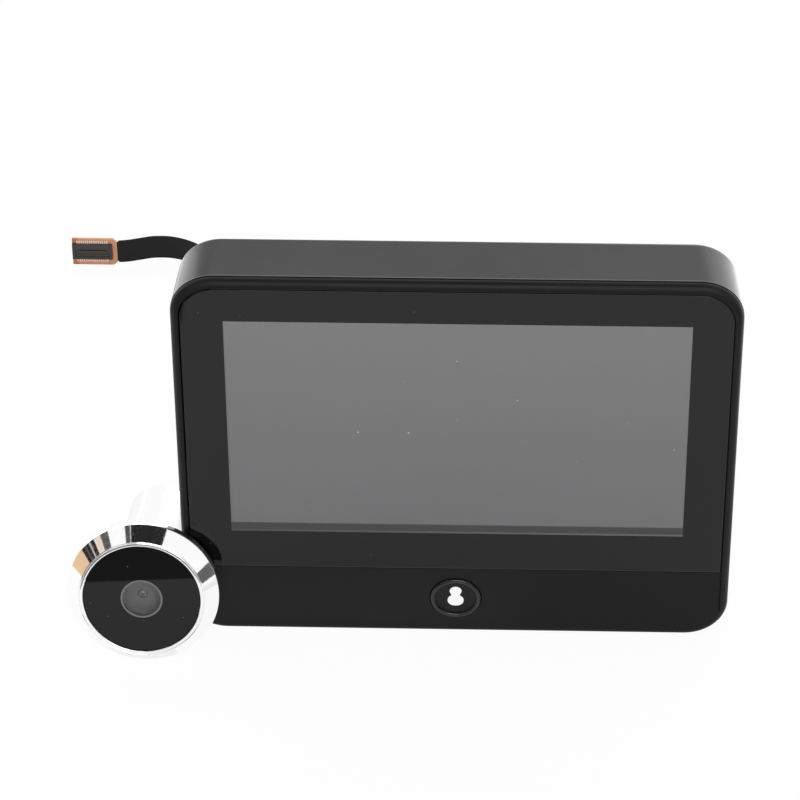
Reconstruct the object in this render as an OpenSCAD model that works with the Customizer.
// Peephole door camera: an indoor monitor that stands on its foot edge, and the
// outdoor camera with its barrel and flat cable lying beside it.
// Millimetres. X runs to the right, Y away from the viewer and Z up.
// The origin is the centre of the monitor's bottom face.

/* [Monitor] */
// Width of the monitor
monitor_width = 114.4; // [106:0.2:126]
// Height of the monitor
monitor_height = 94.4; // [86:0.2:106]
// Depth of the monitor from the front frame to the back
monitor_depth = 14.8; // [13.6:0.2:20]
// Radius of the monitor's corners, seen from the front
monitor_corner = 9; // [8:0.5:11]
// Depth of the front frame at the side, which is all rounded edge
frame_depth = 1.65; // [1.4:0.05:2]
// Width of the shadow line between the front frame and the rear case
seam_gap = 0.4; // [0.2:0.05:0.5]
// Rounding of the rear case's back edge
back_round = 1.4; // [0.6:0.1:1.8]
// How much the rear case draws in at each side towards its back
side_taper = 1; // [0.2:0.1:1.2]
// Thickness of the rear case's side walls
case_wall = 2; // [1.6:0.1:2.2]
// Thickness of the rear case's back wall
back_wall = 2.4; // [2:0.1:2.6]
// Thickness of the front frame behind the chin
frame_wall = 2.2; // [2:0.1:2.6]
// Thickness of the frame's skirt inside the rear case
skirt_wall = 1.2; // [0.8:0.1:1.4]
// How far the frame's skirt reaches behind the front
skirt_reach = 4; // [3:0.2:4.4]

/* [Screen] */
// Height of the chin below the cover glass
chin_height = 18.5; // [17.5:0.1:22]
// Width of the frame's rim beside the cover glass
rim_width = 1.9; // [1.7:0.05:2]
// Thickness of the cover glass
glass_thickness = 1.1; // [0.8:0.1:1.1]
// How far the cover glass stands proud of the frame
glass_proud = 0.15; // [0.05:0.05:0.3]
// Radius of the cover glass's upper corners
glass_corner = 7.2; // [5:0.2:8]
// Bare glass on each side of the display module
lcd_side = 2.45; // [2.4:0.05:6]
// Bare glass above the display module
lcd_above = 5.1; // [4:0.1:8]
// Bare glass below the display module
lcd_below = 1.7; // [1.6:0.1:5]
// Thickness of the display's glass cell
lcd_thickness = 1.3; // [1:0.1:1.4]
// Thickness of the backlight tray
tray_thickness = 1.7; // [1.4:0.1:1.8]

/* [Bell button] */
// Diameter of the button cap
button_diameter = 10.7; // [9:0.1:11]
// Height of the button's centre above the foot
button_height = 10.1; // [9.4:0.1:10.6]
// How far the button's rim stands out of the chin
button_proud = 0.45; // [0.2:0.05:0.7]
// Width of the button's raised rim
button_rim = 1; // [0.8:0.1:1.4]
// Travel of the button
button_travel = 0.5; // [0.3:0.05:0.6]

/* [Back] */
// Width of the recess for the door bracket
bracket_width = 76; // [70:1:80]
// Height of the recess for the door bracket
bracket_height = 70; // [66:1:74]
// Depth of the recess for the door bracket
bracket_depth = 1; // [0.6:0.1:1.2]
// Distance between the hook slots, across
hook_spacing_x = 50; // [40:1:54]
// Distance between the hook slots, up
hook_spacing_z = 56; // [50:0.5:60]
// Length of a hook slot
hook_length = 10; // [6:0.5:12]
// Width of a hook slot
hook_width = 3.2; // [2.4:0.1:3.6]
// Width of the window over the cable socket
window_width = 26; // [20:1:28]
// Height of the window over the cable socket
window_height = 14; // [10:1:18]

/* [Outdoor camera] */
// Diameter of the bezel
bezel_diameter = 32; // [30:0.2:38]
// Diameter of the black face
face_diameter = 24.6; // [23:0.2:26]
// Diameter of the clear lens window in the face
lens_window = 8.9; // [7:0.1:9.8]
// How far the face stands in front of the bezel's widest edge
face_rise = 3.2; // [3:0.1:4]
// Length of the bezel's straight side wall
bezel_side = 1.6; // [1.4:0.1:2.4]
// Outer diameter of the barrel
barrel_diameter = 13.8; // [13:0.1:15]
// Wall of the barrel
barrel_wall = 1; // [0.6:0.1:1]
// How far the barrel's end lies behind the bezel's widest edge
barrel_reach = 36; // [30:0.5:40]
// How far the camera is turned to the left
unit_yaw = 1.8; // [0:0.1:3]
// Gap between the barrel and the monitor, where they come closest
side_gap = 0.4; // [0.3:0.1:4]

/* [Flat cable] */
// Width of the flat cable
ribbon_width = 6.4; // [5:0.1:6.6]
// Thickness of the flat cable
ribbon_thickness = 0.3; // [0.2:0.05:0.4]
// Length of the plug's plate
plug_length = 10.5; // [10:0.1:12]
// Height of the plug's plate
plug_height = 7.6; // [7.4:0.1:8.4]
// Thickness of the plug's plate
plug_plate_thickness = 0.5; // [0.4:0.05:0.8]
// Distance between the plug's contacts
contact_pitch = 0.5; // [0.45:0.01:0.55]
// Contacts in one row of the plug
contact_count = 15; // [8:1:15]

/* [Hidden] */
$fn = 64;
hull_fn = 32;

// How far a cut runs past the face that it opens, and a post into what it stands on
past = 1;
sink = 0.5;

// Clearances between pieces
skirt_clear = 0.15;
seam_land = 0.3;
glass_clear = 0.2;
lcd_clear = 0.25;
button_clear = 0.1;
flange_clear = 0.1;
travel_spare = 0.1;
screw_clear = 0.05;
pilot_spare = 0.4;
board_clear = 0.3;
port_clear = 0.3;
battery_clear = 0.2;
unit_clear = 0.05;
led_clear = 0.1;
holder_clear = 0.25;

// Depths of the monitor's layers behind the frame's front plane
tape_thickness = 0.15;
glass_back = glass_thickness - glass_proud;
pocket_floor = glass_back + tape_thickness;
lcd_back = pocket_floor + lcd_thickness;
tray_back = lcd_back + tray_thickness;
case_front = frame_depth + seam_gap;
inner_back = monitor_depth - back_wall;
board_thickness = 1.2;
board_front = tray_back + board_clear;
board_back = board_front + board_thickness;

// Cover glass, and the display behind it
glass_half = monitor_width / 2 - rim_width - glass_clear / 2;
glass_top = monitor_height - rim_width;
lcd_low = chin_height + lcd_below;
lcd_high = glass_top - lcd_above;
lcd_width = 2 * (glass_half - lcd_side);
lcd_height = lcd_high - lcd_low;
lcd_middle = (lcd_low + lcd_high) / 2;
tray_lip = 1;
tray_floor = 0.3;

// Fine groove that carries the line beside the glass on down the chin
chin_groove = [0.2, 0.15];
chin_groove_low = 7.5;

// Screws that hold the two halves of the monitor together
screw_inset = 11.2;
screw_low = 8;
screw_drop = 4.5;
screw_x = monitor_width / 2 - screw_inset;
screw_high = monitor_height - screw_drop;
screw_points = [for (x = [-screw_x, screw_x], z = [screw_low, screw_high]) [x, z]];
post_radius = 2.1;
post_end = 7;
boss_radius = 3;
boss_floor = 2;
shank_radius = 1.1;
tip_cover = 0.8;
shank_tip = frame_wall + tip_cover;
head_radius = 2.2;
head_height = 1.6;
head_seat = post_end + boss_floor;
cross_slot = [2.6, 0.5, 0.7];

// Main board, its pillars and what it carries
board_side = 0.75;
board_end = 2.6;
board_corner = 2;
board_width = lcd_width - 2 * board_side;
board_height = lcd_height - 2 * board_end;
pillar_radius = 2;
pillar_side = 12;
pillar_end = 2.5;
pillar_x = board_width / 2 - pillar_side;
pillar_z = board_height / 2 - pillar_end;
socket_size = [10.4, 1.6, 5.2];
socket_wall = 0.9;
socket_depth = 1.12;
socket_tongue = [6.8, 1.2];
usb_size = [5.4, 2.7, 7.6];
usb_drop = 14;
usb_inset = 0.1;
usb_recess = side_taper + usb_inset;
usb_wall = 0.35;
usb_tongue = [4.05, 0.7, 4.8];
card_size = [14.8, 1.4, 14.6];
card_rise = 12;
card_slot = 12.2;
card_recess = case_wall + 0.2;
card_wall = [1, 0.25, 1.7];
battery_width = 34;
battery_side = 3;
battery_gap = 1.5;
battery_x = battery_side + (battery_width - board_width) / 2;
battery_height = 2 * (pillar_z - pillar_radius - battery_gap);
battery_front = board_back + 1.1;
battery_round = 2;
battery_cap = 3;

// Bell button, its switch and the speaker behind the chin
button_radius = button_diameter / 2;
button_face = button_rim / 2 - button_proud;
flange_radius = button_radius + 0.9;
flange_front = frame_wall + flange_clear;
flange_back = flange_front + 0.8;
stem_radius = 1.6;
stem_back = flange_back + 0.5;
icon_depth = 0.4;
icon_clear = 0.03;
head_disc = 1.25;
head_rise = 1.82;
neck_size = [1.8, 0.5];
neck_rise = 0.68;
body_disc = 1.5;
body_spread = 0.2;
body_drop = 0.76;
plunger_radius = 1.7;
plunger_length = 1.2;
plunger_well = stem_back + plunger_length + button_travel + travel_spare;
switch_front = stem_back + button_travel + travel_spare;
switch_size = 6;
switch_depth = 2.2;
key_board_size = [36, 12];
key_board_front = switch_front + switch_depth;
key_board_back = key_board_front + 1;
key_pillar_x = 14;
speaker_size = [15, 3.5, 11];
speaker_gap = 5.5;
speaker_x = screw_x - boss_radius - speaker_gap - speaker_size[0] / 2;
speaker_rim = 1;
speaker_dish = 0.3;
speaker_corner = 3;
grille_slots = 4;
grille_pitch = 2.2;
grille_slot = [11, 1.1];
bracket_corner = 4;

// Outdoor camera: lengths along its axis, zero at the bezel's widest edge
bezel_radius = bezel_diameter / 2;
barrel_radius = barrel_diameter / 2;
barrel_bore = barrel_radius - barrel_wall;
face_radius = face_diameter / 2;
face_thickness = 1.5;
face_back = face_rise - face_thickness;
lip_width = 0.7;
lip_rise = 0.15;
groove_width = 0.2;
groove_depth = 0.4;
cone_top = face_radius + unit_clear + lip_width + groove_width;
ledge_radius = face_radius - 1.1;
plate_radius = bezel_radius - 1.9;
plate_thickness = 1.3;
gasket_radius = plate_radius - 0.4;
gasket_width = 5;
gasket_thickness = 0.6;
collar_height = 0.6;
collar_radius = barrel_radius + 1.8;
led_board_thickness = 0.7;
led_board_radius = ledge_radius - 0.2;
led_size = [2, 1.6, face_back - led_board_thickness - led_clear];
led_circle = 8;
led_count = 6;
led_turn = 30;
holder_radius = lens_window / 2 + 0.25;
holder_tail = 3.9;
holder_back = -6;
hood_depth = 0.8;
hood_step = 0.4;
hood_brim = holder_radius + 0.7;
hood_floor = face_back - hood_depth;
lens_radius = 0.95;
lens_sag = 0.35;
lens_seat = hood_floor - 1;
sensor_thickness = 1;
sensor_radius = barrel_bore - 0.15;

// The camera lies on the rear edge of its bezel and on the end of its barrel. The barrel
// turns towards the monitor, so its gap is taken at the monitor's back
bezel_gap = 0.1;
unit_tilt = atan2(bezel_radius - barrel_radius, barrel_reach - bezel_side);
unit_y = -(monitor_depth / 2 + bezel_gap + bezel_side * cos(unit_tilt) + bezel_radius * sin(unit_tilt));
unit_z = bezel_radius * cos(unit_tilt) + bezel_side * sin(unit_tilt);
yaw_room = (monitor_depth / 2 - unit_y) * tan(unit_yaw);
unit_x = -(monitor_width / 2 + side_gap + barrel_radius + yaw_room);
unit_axis = [-sin(unit_yaw) * cos(unit_tilt), -cos(unit_yaw) * cos(unit_tilt), sin(unit_tilt)];
barrel_end = [unit_x, unit_y, unit_z] - barrel_reach * unit_axis;

// Middle line of the free flat cable, standing on its edge on the table
cable_straight = 3;
plug_lift = 0.3;
plug_middle = [-81.4, 116.2, plug_height / 2 + plug_lift];
ribbon_points = concat([barrel_end, barrel_end - cable_straight * unit_axis], [
    [-62.4, 26.4, 5.1], [-59.9, 28.4, 4.4], [-57.4, 31.2, 3.9], [-55.4, 35, 3.5], [-53.9, 40, 3.4],
    [-52.6, 46, 3.4], [-51.7, 52, 3.4], [-51.1, 58.5, 3.4], [-50.8, 66, 3.4], [-50.8, 75, 3.4],
    [-51.2, 84, 3.4], [-51.8, 92, 3.4], [-53, 99.2, 3.4], [-55.2, 105.9, 3.6], [-58.6, 111.8, 3.9],
    [-63, 115.7, 4.1], [-68, 117.75, 4.2], [-72.6, 118, 4.2], [-76, 117.25, 4.15],
    [-78.8, 116.55, 4.1], plug_middle
]);
ribbon_steps = 2;
housing_size = [9.4, 0.6, 4.3];
housing_lift = 0.3;
housing_wall = 0.7;
housing_tongue = [6.8, 0.9];
tail_size = [0.26, 0.16, 0.85];
plate_chamfer = 0.9;

// Shapes that repeat

module in_monitor() translate([0, -monitor_depth / 2, 0]) children();

// Extrudes an outline drawn in X and Z between two depths
module slab(y0, y1) translate([0, y1, 0]) rotate([90, 0, 0]) linear_extrude(y1 - y0) children();

// A round bar along Y between two depths
module bar(x, z, radius, y0, y1)
    translate([x, y0, z]) rotate([-90, 0, 0]) cylinder(r = radius, h = y1 - y0);

module block(low, high) translate(low) cube(high - low);

module rounded_rect(width, height, radius) {
    square([width, height - 2 * radius], center = true);
    square([width - 2 * radius, height], center = true);
    for (x = [-1, 1], z = [-1, 1])
        translate([x * (width / 2 - radius), z * (height / 2 - radius)]) circle(radius);
}

module monitor_outline(inset)
    translate([0, monitor_height / 2])
        rounded_rect(monitor_width - 2 * inset, monitor_height - 2 * inset, monitor_corner - inset);

// The cover glass's outline: square lower corners and round upper ones
module glass_outline(grow) {
    half = glass_half + grow;
    low = chin_height - grow;
    high = glass_top + grow;
    radius = glass_corner + grow;
    translate([-half, low]) square([2 * half, high - low - radius]);
    translate([radius - half, low]) square([2 * (half - radius), high - low]);
    for (x = [-1, 1]) translate([x * (half - radius), high - radius]) circle(radius);
}

module lcd_outline(inset)
    translate([0, lcd_middle])
        square([lcd_width - 2 * inset, lcd_height - 2 * inset], center = true);

// A slot with round ends that runs along X
module slot_outline(length, width) {
    square([length - width, width], center = true);
    for (x = [-1, 1]) translate([x * (length - width) / 2, 0]) circle(width / 2);
}

// A corner of the monitor whose end is drawn in by a quarter round
module corner_post(depth, edge) {
    arc = [for (a = [0:15:90]) [monitor_corner - edge + edge * cos(a), depth - edge + edge * sin(a)]];
    rotate_extrude($fn = hull_fn) polygon(concat([[0, 0], [monitor_corner, 0]], arc, [[0, depth]]));
}

// The monitor's outer form, from a flat end to an end with a rounded edge, which is this much narrower
module soft_shell(depth, edge, taper)
    rotate([-90, 0, 0]) hull()
        for (x = [-1, 1], z = [monitor_corner, monitor_height - monitor_corner])
            translate([x * (monitor_width / 2 - monitor_corner), -z, 0]) {
                translate([-x * taper, 0, 0]) corner_post(depth, edge);
                if (taper > 0) cylinder(r = monitor_corner, h = seam_land, $fn = hull_fn);
            }

module in_unit()
    translate([unit_x, unit_y, unit_z]) rotate([90 - unit_tilt, 0, -unit_yaw]) children();

module disc(radius, low, high) translate([0, 0, low]) cylinder(r = radius, h = high - low);

module ring(outer, inner, low, high) difference() {
    disc(outer, low, high);
    disc(inner, low - past, high + past);
}

// The monitor's pieces

module frame_shell() {
    translate([0, frame_depth, 0]) mirror([0, 1, 0]) soft_shell(frame_depth, frame_depth, 0);
    difference() {
        slab(frame_depth, skirt_reach) monitor_outline(case_wall + skirt_clear);
        slab(frame_wall, skirt_reach + past) monitor_outline(case_wall + skirt_clear + skirt_wall);
    }
    for (p = screw_points) bar(p[0], p[1], post_radius, frame_wall / 2, post_end);
}

module front_frame() color("#1b1b1c") in_monitor() difference() {
    frame_shell();
    slab(-past, pocket_floor) glass_outline(glass_clear);
    slab(-past, frame_wall + past) lcd_outline(-lcd_clear);
    bar(0, button_height, button_radius + button_clear, -past, frame_wall + past);
    bar(0, button_height, flange_radius + button_clear, flange_front - flange_clear / 2, skirt_reach + past);
    for (x = [-1, 1])
        block([x * (glass_half + glass_clear) - max(x, 0) * chin_groove[0], -past, chin_groove_low],
            [x * (glass_half + glass_clear) - min(x, 0) * chin_groove[0], chin_groove[1], chin_height]);
    for (p = screw_points)
        bar(p[0], p[1], shank_radius + screw_clear, shank_tip - pilot_spare, post_end + past);
}

module cover_glass() color("#0d0d0f") in_monitor() slab(-glass_proud, glass_back) glass_outline(0);

module glass_tape() color("#26262a") in_monitor() difference() {
    slab(glass_back, pocket_floor) glass_outline(0);
    slab(glass_back - past, pocket_floor + past) lcd_outline(-lcd_clear);
}

module lcd_panel() color("#6f6f70") in_monitor() slab(pocket_floor, lcd_back) lcd_outline(0);

module light_guide() color("#f2f2ee") in_monitor()
    slab(lcd_back, tray_back - tray_floor) lcd_outline(tray_lip + unit_clear);

module backlight_tray() color("#b9bcc0") in_monitor() difference() {
    slab(lcd_back, tray_back) lcd_outline(0);
    slab(lcd_back - past, tray_back - tray_floor) lcd_outline(tray_lip);
}

module case_posts() {
    for (p = screw_points) bar(p[0], p[1], boss_radius, post_end, inner_back + sink);
    for (x = [-pillar_x, pillar_x], z = [-pillar_z, pillar_z])
        bar(x, lcd_middle + z, pillar_radius, board_back, inner_back + sink);
    for (x = [-key_pillar_x, key_pillar_x])
        bar(x, button_height, pillar_radius, key_board_back, inner_back + sink);
}

module case_shell() {
    difference() {
        translate([0, case_front, 0]) soft_shell(monitor_depth - case_front, back_round, side_taper);
        slab(case_front - past, inner_back) monitor_outline(case_wall);
    }
    intersection() {
        case_posts();
        slab(case_front, inner_back + sink) monitor_outline(max(case_wall / 2, side_taper));
    }
}

module back_cuts() {
    slab(monitor_depth - bracket_depth, monitor_depth + past)
        translate([0, lcd_middle]) rounded_rect(bracket_width, bracket_height, bracket_corner);
    slab(inner_back - past, monitor_depth + past) translate([0, lcd_middle]) {
        square([window_width, window_height], center = true);
        for (x = [-1, 1], z = [-1, 1])
            translate([x * hook_spacing_x / 2, z * hook_spacing_z / 2])
                slot_outline(hook_length, hook_width);
    }
    for (i = [0:grille_slots - 1])
        slab(inner_back - past, monitor_depth + past)
            translate([speaker_x, button_height + (i - (grille_slots - 1) / 2) * grille_pitch])
                slot_outline(grille_slot[0], grille_slot[1]);
    for (p = screw_points) {
        bar(p[0], p[1], head_radius + screw_clear, head_seat, monitor_depth + past);
        bar(p[0], p[1], shank_radius + screw_clear, post_end - past, monitor_depth);
    }
}

// A port through the right side wall, over a socket of this thickness on the main board
module side_port(z, width, thickness) {
    wall_inside = monitor_width / 2 - case_wall;
    block([wall_inside - past, board_back - port_clear, z - width / 2],
        [wall_inside + case_wall + past, board_back + thickness + port_clear, z + width / 2]);
}

module rear_case() color("#1f1f21") in_monitor() difference() {
    case_shell();
    back_cuts();
    side_port(lcd_middle - usb_drop, usb_size[2] + 2 * port_clear, usb_size[1]);
    side_port(lcd_middle + card_rise, card_slot, card_size[1]);
}

module case_screw() difference() {
    union() {
        cylinder(r = head_radius, h = head_height);
        disc(shank_radius, shank_tip - head_seat, sink);
    }
    for (a = [0, 90])
        rotate(a) translate([0, 0, head_height])
            cube([cross_slot[0], cross_slot[1], 2 * cross_slot[2]], center = true);
}

module case_screws() color("#3a3a3d") in_monitor()
    for (p = screw_points)
        translate([p[0], head_seat, p[1]]) rotate([-90, 0, 0]) case_screw();

module main_board() color("#1f5a38") in_monitor()
    slab(board_front, board_back) translate([0, lcd_middle])
        rounded_rect(board_width, board_height, board_corner);

// A block of this size with a pocket open towards +Y, round a tongue that fills its middle
module pocket_block(size, wall, depth, tongue) difference() {
    cube(size, center = true);
    difference() {
        translate([0, size[1] / 2, 0])
            cube([size[0] - 2 * wall, 2 * depth, size[2] - 2 * wall], center = true);
        cube([tongue[0], size[1] + 2 * past, tongue[1]], center = true);
    }
}

module flex_socket() color("#d8d2c4") in_monitor()
    translate([0, board_back + socket_size[1] / 2, lcd_middle])
        pocket_block(socket_size, socket_wall, socket_depth, socket_tongue);

// A socket at the right side of the main board, with its mouth this far inside the side
module at_side(size, recess, z)
    translate([monitor_width / 2 - recess - size[0], board_back, z - size[2] / 2]) children();

module usb_socket() color("#c4c6c8") in_monitor()
    at_side(usb_size, usb_recess, lcd_middle - usb_drop) {
        difference() {
            cube(usb_size);
            translate([1, 1, 1] * usb_wall) cube(usb_size - [0, 2, 2] * usb_wall);
        }
        translate([0, (usb_size[1] - usb_tongue[1]) / 2, (usb_size[2] - usb_tongue[2]) / 2])
            cube(usb_tongue);
    }

module card_socket() color("#b4b7ba") in_monitor()
    at_side(card_size, card_recess, lcd_middle + card_rise) difference() {
        cube(card_size);
        translate(card_wall) cube(card_size - [0, 2 * card_wall[1], 2 * card_wall[2]]);
    }

module battery_pack() color("#8e9499") in_monitor() translate([battery_x, 0, lcd_middle])
    slab(battery_front, inner_back - battery_clear) difference() {
        rounded_rect(battery_width, battery_height, battery_round);
        translate([0, battery_height / 2])
            square([battery_width - 2 * battery_cap, 2 * battery_cap], center = true);
    }

module speaker() color("#2c2c30") in_monitor() translate([speaker_x, 0, button_height]) difference() {
    width = speaker_size[0];
    height = speaker_size[2];
    slab(inner_back - speaker_size[1], inner_back) square([width, height], center = true);
    slab(inner_back - speaker_dish, inner_back + past)
        rounded_rect(width - 2 * speaker_rim, height - 2 * speaker_rim, speaker_corner);
}

module key_board() color("#1f5a38") in_monitor()
    slab(key_board_front, key_board_back) translate([0, button_height])
        square(key_board_size, center = true);

module key_switch() color("#9a9da1") in_monitor() difference() {
    slab(switch_front, key_board_front) translate([0, button_height])
        square(switch_size, center = true);
    bar(0, button_height, plunger_radius + unit_clear, switch_front - past, plunger_well);
}

module key_plunger() color("#28282b") in_monitor()
    bar(0, button_height, plunger_radius, stem_back, stem_back + plunger_length);

module icon_outline(grow) {
    translate([0, head_rise]) circle(head_disc + grow);
    translate([0, neck_rise]) square(neck_size + [2, 0] * grow, center = true);
    translate([0, -body_drop]) {
        square([2 * body_spread, 2 * (body_disc + grow)], center = true);
        for (x = [-body_spread, body_spread]) translate([x, 0]) circle(body_disc + grow);
    }
}

// Half section of the cap, with its axis at X = 0 and its front towards -Y
module button_section() {
    translate([0, button_face]) square([button_radius, flange_back - button_face]);
    translate([button_radius - button_rim / 2, button_face]) circle(button_rim / 2);
    translate([0, flange_front]) square([flange_radius, flange_back - flange_front]);
    translate([0, flange_back]) square([stem_radius, stem_back - flange_back]);
}

module bell_button() color("#202022") in_monitor() difference() {
    translate([0, 0, button_height]) rotate([-90, 0, 0]) rotate_extrude() button_section();
    slab(-past, button_face + icon_depth) translate([0, button_height]) icon_outline(icon_clear);
}

module button_icon() color("#fafafa") in_monitor()
    slab(button_face, button_face + icon_depth) translate([0, button_height]) icon_outline(0);

// The outdoor camera's pieces

module bezel_section() {
    lip_in = face_radius + unit_clear;
    lip_out = lip_in + lip_width;
    rear_in = plate_radius + unit_clear;
    polygon([
        [ledge_radius, 0], [ledge_radius, face_back], [lip_in, face_back], [lip_in, face_rise + lip_rise],
        [lip_out, face_rise + lip_rise], [lip_out, face_rise - groove_depth],
        [cone_top, face_rise - groove_depth], [cone_top, face_rise], [bezel_radius, 0],
        [bezel_radius, -bezel_side], [rear_in, -bezel_side], [rear_in, 0]
    ]);
}

module bezel_ring() color("#d9dadc") in_unit() rotate_extrude($fn = 96) bezel_section();

module face_panel() color("#0e0e10") in_unit() disc(face_radius, face_back, face_rise);

module lens_holder() color("#58585b") in_unit() difference() {
    union() {
        disc(holder_radius, 0, face_back);
        disc(hood_brim, hood_floor, face_back);
        disc(holder_tail, holder_back, sink);
    }
    hood_slope = hood_step / hood_depth;
    translate([0, 0, hood_floor])
        cylinder(r1 = lens_window / 2 - hood_step, r2 = lens_window / 2 + past * hood_slope,
            h = hood_depth + past);
    disc(lens_radius + unit_clear, lens_seat, face_back);
}

module lens_glass() color("#2a2438") in_unit() intersection() {
    disc(lens_radius, lens_seat, face_back);
    bulge = (lens_radius * lens_radius + lens_sag * lens_sag) / (2 * lens_sag);
    translate([0, 0, hood_floor + lens_sag - bulge]) sphere(bulge);
}

module led_board() color("#1d2a24") in_unit()
    ring(led_board_radius, holder_radius + holder_clear, 0, led_board_thickness);

module ir_leds() color("#d9d4c0") in_unit()
    for (i = [0:led_count - 1])
        rotate(i * 360 / led_count + led_turn)
            translate([led_circle, 0, led_board_thickness + led_size[2] / 2]) cube(led_size, center = true);

module back_plate() color("#1c1c1e") in_unit() difference() {
    disc(plate_radius, -plate_thickness, 0);
    disc(barrel_radius + unit_clear, -plate_thickness - past, past);
    disc(collar_radius + unit_clear, -collar_height, past);
}

module door_gasket() color("#151516") in_unit()
    ring(gasket_radius, gasket_radius - gasket_width, -plate_thickness - gasket_thickness, -plate_thickness);

module barrel() color("#e2e3e5") in_unit() difference() {
    union() {
        disc(barrel_radius, -barrel_reach, 0);
        disc(collar_radius, -collar_height, 0);
    }
    disc(barrel_bore, -barrel_reach - past, past);
}

module sensor_board() color("#1f5a38") in_unit()
    disc(sensor_radius, holder_back - sensor_thickness, holder_back);

module flex_lead() color("#232325") in_unit()
    translate([-ribbon_thickness / 2, -ribbon_width / 2, -barrel_reach])
        cube([ribbon_thickness, ribbon_width, barrel_reach + holder_back - sensor_thickness]);

// The flat cable: a strip swept along a smooth curve through its points

function unit(v) = v / norm(v);

// Point at t between b and c on the curve through a, b, c and d
function curve(a, b, c, d, t) = 0.5 * (2 * b + (c - a) * t + (2 * a - 5 * b + 4 * c - d) * t * t
    + (3 * b - a - 3 * c + d) * t * t * t);

function smooth(points, steps) = let (last = len(points) - 1) concat(
    [for (i = [0:last - 1], k = [0:steps - 1]) curve(
        i > 0 ? points[i - 1] : 2 * points[0] - points[1], points[i], points[i + 1],
        i < last - 1 ? points[i + 2] : 2 * points[last] - points[last - 1], k / steps)],
    [points[last]]);

// Direction of the strip at a point: along the barrel at its start, along X at the plug
function heading(path, i) = i == 0 ? -unit_axis
    : i == len(path) - 1 ? [-1, 0, 0] : unit(path[i + 1] - path[i - 1]);

function strip_ring(path, i) = let (
        along = heading(path, i),
        up = unit([0, 0, 1] - along[2] * along) * ribbon_width / 2,
        side = unit(cross(along, up)) * ribbon_thickness / 2
    ) [path[i] + up + side, path[i] + up - side, path[i] - up - side, path[i] - up + side];

module strip(path) {
    rings = len(path);
    corners = [for (i = [0:rings - 1]) each strip_ring(path, i)];
    walls = [for (i = [0:rings - 2], k = [0:3])
        let (a = 4 * i + k, b = 4 * i + (k + 1) % 4)
            each [[a, b, b + 4], [a, b + 4, a + 4]]];
    start = [[0, 2, 1], [0, 3, 2]];
    end = [for (t = [[0, 1, 2], [0, 2, 3]]) t + [1, 1, 1] * 4 * (rings - 1)];
    polyhedron(corners, concat(walls, start, end));
}

module flex_ribbon() color("#232325") strip(smooth(ribbon_points, ribbon_steps));

module at_plug() translate(plug_middle) children();

module plug_plate() color("#c07a4e") at_plug()
    slab(-plug_plate_thickness / 2, plug_plate_thickness / 2) polygon([
        [-plug_length, -plug_height / 2], [-plate_chamfer, -plug_height / 2],
        [0, plate_chamfer - plug_height / 2], [0, plug_height / 2 - plate_chamfer],
        [-plate_chamfer, plug_height / 2], [-plug_length, plug_height / 2]
    ]);

// Places the connector's middle on the front of the plug's plate
module on_plug() at_plug()
    translate([
        housing_size[0] / 2 - plug_length,
        -(plug_plate_thickness + housing_size[1]) / 2,
        housing_lift
    ]) children();

module plug_housing() color("#2a2a2c") on_plug()
    mirror([0, 1, 0]) pocket_block(housing_size, housing_wall, housing_size[1] / 2, housing_tongue);

module plug_contacts() color("#e6ddd0") on_plug()
    for (i = [0:contact_count - 1], z = [-1, 1])
        translate([(i - (contact_count - 1) / 2) * contact_pitch, (housing_size[1] - tail_size[1]) / 2,
            z * (housing_size[2] + tail_size[2]) / 2])
            cube(tail_size, center = true);

front_frame();
cover_glass();
glass_tape();
lcd_panel();
light_guide();
backlight_tray();
rear_case();
case_screws();
main_board();
flex_socket();
usb_socket();
card_socket();
battery_pack();
speaker();
key_board();
key_switch();
key_plunger();
bell_button();
button_icon();
bezel_ring();
face_panel();
lens_holder();
lens_glass();
led_board();
ir_leds();
back_plate();
door_gasket();
barrel();
sensor_board();
flex_lead();
flex_ribbon();
plug_plate();
plug_housing();
plug_contacts();
